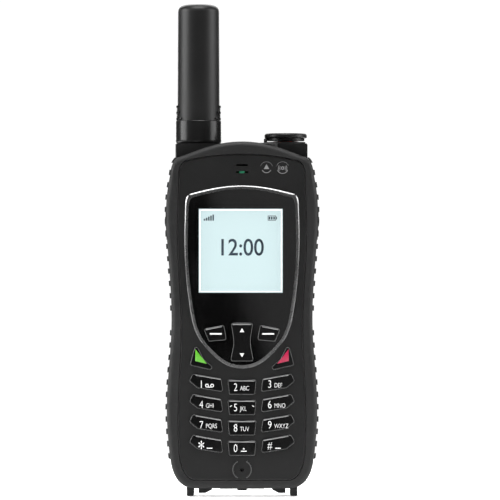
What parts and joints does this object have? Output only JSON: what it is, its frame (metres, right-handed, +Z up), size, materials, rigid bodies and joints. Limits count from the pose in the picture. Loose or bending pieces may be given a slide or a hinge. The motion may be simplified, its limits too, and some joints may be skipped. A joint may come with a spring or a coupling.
{
  "type": "satellite phone",
  "caption": "Rugged handheld satellite phone with a pull-up round antenna, a shield-shaped screen lens, a number keypad, a capped emergency button and a clip-in battery.",
  "frame": {"origin": "middle of the phone's footprint, on the surface that its two base rails stand on", "axes": "+Z up along the body and antenna, -Y towards the screen and keys, the antenna on -X"},
  "size_m": [0.0604, 0.027, 0.1917],
  "materials": {
    "housing_plastic": "fine matte texture",
    "bumper_plastic": "soft-touch matte",
    "latch_plastic": "satin",
    "grip_rubber": "matte",
    "seal_rubber": "matte",
    "bezel_metal": "satin bright",
    "lens_glass": "glossy black tint",
    "screen": "lit display, flat",
    "white_plastic": "satin",
    "board_laminate": "solder-masked laminate",
    "spring_steel": "plain",
    "membrane_rubber": "translucent matte",
    "tinned_steel": "plain",
    "capsule_metal": "plain",
    "black_plastic": "moulded",
    "light_pipe": "clear green",
    "ceramic": "fired, silvered top",
    "contact_gold": "plated",
    "cell_foil": "foil pouch",
    "screw_steel": "plated",
    "antenna_plastic": "satin",
    "former_plastic": "flexible laminate on a former",
    "collar_plastic": "semi-gloss",
    "signal_red": "semi-gloss",
    "cap_plastic": "satin",
    "key_plastic": "polished black"
  },
  "bodies": {
    "case": {"antenna_collar": "collar_plastic", "battery_case": "housing_plastic", "battery_cells": "cell_foil", "battery_contacts": "contact_gold", "bumper_frame": "bumper_plastic", "cap_pin": "screw_steel", "case_screws": "screw_steel", "display_lens": "lens_glass", "display_panel": "screen", "display_tray": "white_plastic", "dock_connector": "black_plastic", "earpiece": "capsule_metal", "emergency_base": "bumper_plastic", "front_housing": "housing_plastic", "headset_jack": "black_plastic", "housing_seal": "seal_rubber", "key_domes": "spring_steel", "key_membrane": "membrane_rubber", "keypad_board": "board_laminate", "lens_bezel": "bezel_metal", "main_board": "board_laminate", "microphone": "capsule_metal", "patch_antenna": "ceramic", "rear_housing": "housing_plastic", "ringer": "black_plastic", "shield_can": "tinned_steel", "side_grip_left": "grip_rubber", "side_grip_right": "grip_rubber", "sim_card": "white_plastic", "sim_holder": "black_plastic", "status_light": "light_pipe", "vibration_motor": "capsule_metal"},
    "antenna": {"antenna_radome": "antenna_plastic", "antenna_core": "former_plastic"},
    "cap": {"emergency_cap": "cap_plastic"},
    "emergency": {"emergency_button": "signal_red"},
    "power": {"power_key": "bumper_plastic"},
    "volume": {"volume_key": "grip_rubber"},
    "function": {"function_key": "grip_rubber"},
    "flap": {"jack_cover": "grip_rubber"},
    "latch": {"battery_latch": "latch_plastic"},
    "rocker": {"nav_rocker": "key_plastic"},
    "key_0_cap": {"key_0": "key_plastic"},
    "key_1_cap": {"key_1": "key_plastic"},
    "key_2_cap": {"key_2": "key_plastic"},
    "key_3_cap": {"key_3": "key_plastic"},
    "key_4_cap": {"key_4": "key_plastic"},
    "key_5_cap": {"key_5": "key_plastic"},
    "key_6_cap": {"key_6": "key_plastic"},
    "key_7_cap": {"key_7": "key_plastic"},
    "key_8_cap": {"key_8": "key_plastic"},
    "key_9_cap": {"key_9": "key_plastic"},
    "key_star_cap": {"key_star": "key_plastic"},
    "key_hash_cap": {"key_hash": "key_plastic"},
    "soft_key_left_cap": {"soft_key_left": "key_plastic"},
    "soft_key_right_cap": {"soft_key_right": "key_plastic"},
    "call_key_cap": {"call_key": "key_plastic"},
    "end_key_cap": {"end_key": "key_plastic"}
  },
  "joints": [
    {"name": "antenna_slide", "type": "slide", "parent": "case", "child": "antenna", "axis": [0, 0, 1], "range_m": [-0.04, 0]},
    {"name": "cap_hinge", "type": "hinge", "parent": "case", "child": "cap", "pos_m": [0.00915, 0.00375, 0.1387], "axis": [0, 1, 0], "range_deg": [-110, 0]},
    {"name": "emergency_press", "type": "slide", "parent": "case", "child": "emergency", "axis": [0, 0, -1], "range_m": [0, 0.0008], "stiffness_N_per_m": 1500},
    {"name": "power_press", "type": "slide", "parent": "case", "child": "power", "axis": [0, 0, -1], "range_m": [0, 0.0005], "stiffness_N_per_m": 1500},
    {"name": "volume_rock", "type": "hinge", "parent": "case", "child": "volume", "pos_m": [-0.0277, 0.004, 0.1055], "axis": [0, 1, 0], "range_deg": [-1.5, 1.5], "stiffness_Nm_per_rad": 0.2},
    {"name": "function_press", "type": "slide", "parent": "case", "child": "function", "axis": [-1, 0, 0], "range_m": [0, 0.00025], "stiffness_N_per_m": 1500},
    {"name": "flap_hinge", "type": "hinge", "parent": "case", "child": "flap", "pos_m": [0.028, 0.0077, 0.1208], "axis": [0, 0, 1], "range_deg": [0, 90]},
    {"name": "latch_slide", "type": "slide", "parent": "case", "child": "latch", "axis": [0, 0, 1], "range_m": [0, 0.0022], "stiffness_N_per_m": 600},
    {"name": "rocker_tilt", "type": "hinge", "parent": "case", "child": "rocker", "pos_m": [0, -0.0109, 0.06], "axis": [1, 0, 0], "range_deg": [-2, 2], "stiffness_Nm_per_rad": 0.2},
    {"name": "key_0_press", "type": "slide", "parent": "case", "child": "key_0_cap", "axis": [0, 1, 0], "range_m": [0, 0.00045], "stiffness_N_per_m": 1500},
    {"name": "key_1_press", "type": "slide", "parent": "case", "child": "key_1_cap", "axis": [0, 1, 0], "range_m": [0, 0.00045], "stiffness_N_per_m": 1500},
    {"name": "key_2_press", "type": "slide", "parent": "case", "child": "key_2_cap", "axis": [0, 1, 0], "range_m": [0, 0.00045], "stiffness_N_per_m": 1500},
    {"name": "key_3_press", "type": "slide", "parent": "case", "child": "key_3_cap", "axis": [0, 1, 0], "range_m": [0, 0.00045], "stiffness_N_per_m": 1500},
    {"name": "key_4_press", "type": "slide", "parent": "case", "child": "key_4_cap", "axis": [0, 1, 0], "range_m": [0, 0.00045], "stiffness_N_per_m": 1500},
    {"name": "key_5_press", "type": "slide", "parent": "case", "child": "key_5_cap", "axis": [0, 1, 0], "range_m": [0, 0.00045], "stiffness_N_per_m": 1500},
    {"name": "key_6_press", "type": "slide", "parent": "case", "child": "key_6_cap", "axis": [0, 1, 0], "range_m": [0, 0.00045], "stiffness_N_per_m": 1500},
    {"name": "key_7_press", "type": "slide", "parent": "case", "child": "key_7_cap", "axis": [0, 1, 0], "range_m": [0, 0.00045], "stiffness_N_per_m": 1500},
    {"name": "key_8_press", "type": "slide", "parent": "case", "child": "key_8_cap", "axis": [0, 1, 0], "range_m": [0, 0.00045], "stiffness_N_per_m": 1500},
    {"name": "key_9_press", "type": "slide", "parent": "case", "child": "key_9_cap", "axis": [0, 1, 0], "range_m": [0, 0.00045], "stiffness_N_per_m": 1500},
    {"name": "key_star_press", "type": "slide", "parent": "case", "child": "key_star_cap", "axis": [0, 1, 0], "range_m": [0, 0.00045], "stiffness_N_per_m": 1500},
    {"name": "key_hash_press", "type": "slide", "parent": "case", "child": "key_hash_cap", "axis": [0, 1, 0], "range_m": [0, 0.00045], "stiffness_N_per_m": 1500},
    {"name": "soft_key_left_press", "type": "slide", "parent": "case", "child": "soft_key_left_cap", "axis": [0, 1, 0], "range_m": [0, 0.00045], "stiffness_N_per_m": 1500},
    {"name": "soft_key_right_press", "type": "slide", "parent": "case", "child": "soft_key_right_cap", "axis": [0, 1, 0], "range_m": [0, 0.00045], "stiffness_N_per_m": 1500},
    {"name": "call_key_press", "type": "slide", "parent": "case", "child": "call_key_cap", "axis": [0, 1, 0], "range_m": [0, 0.00045], "stiffness_N_per_m": 1500},
    {"name": "end_key_press", "type": "slide", "parent": "case", "child": "end_key_cap", "axis": [0, 1, 0], "range_m": [0, 0.00045], "stiffness_N_per_m": 1500}
  ]
}
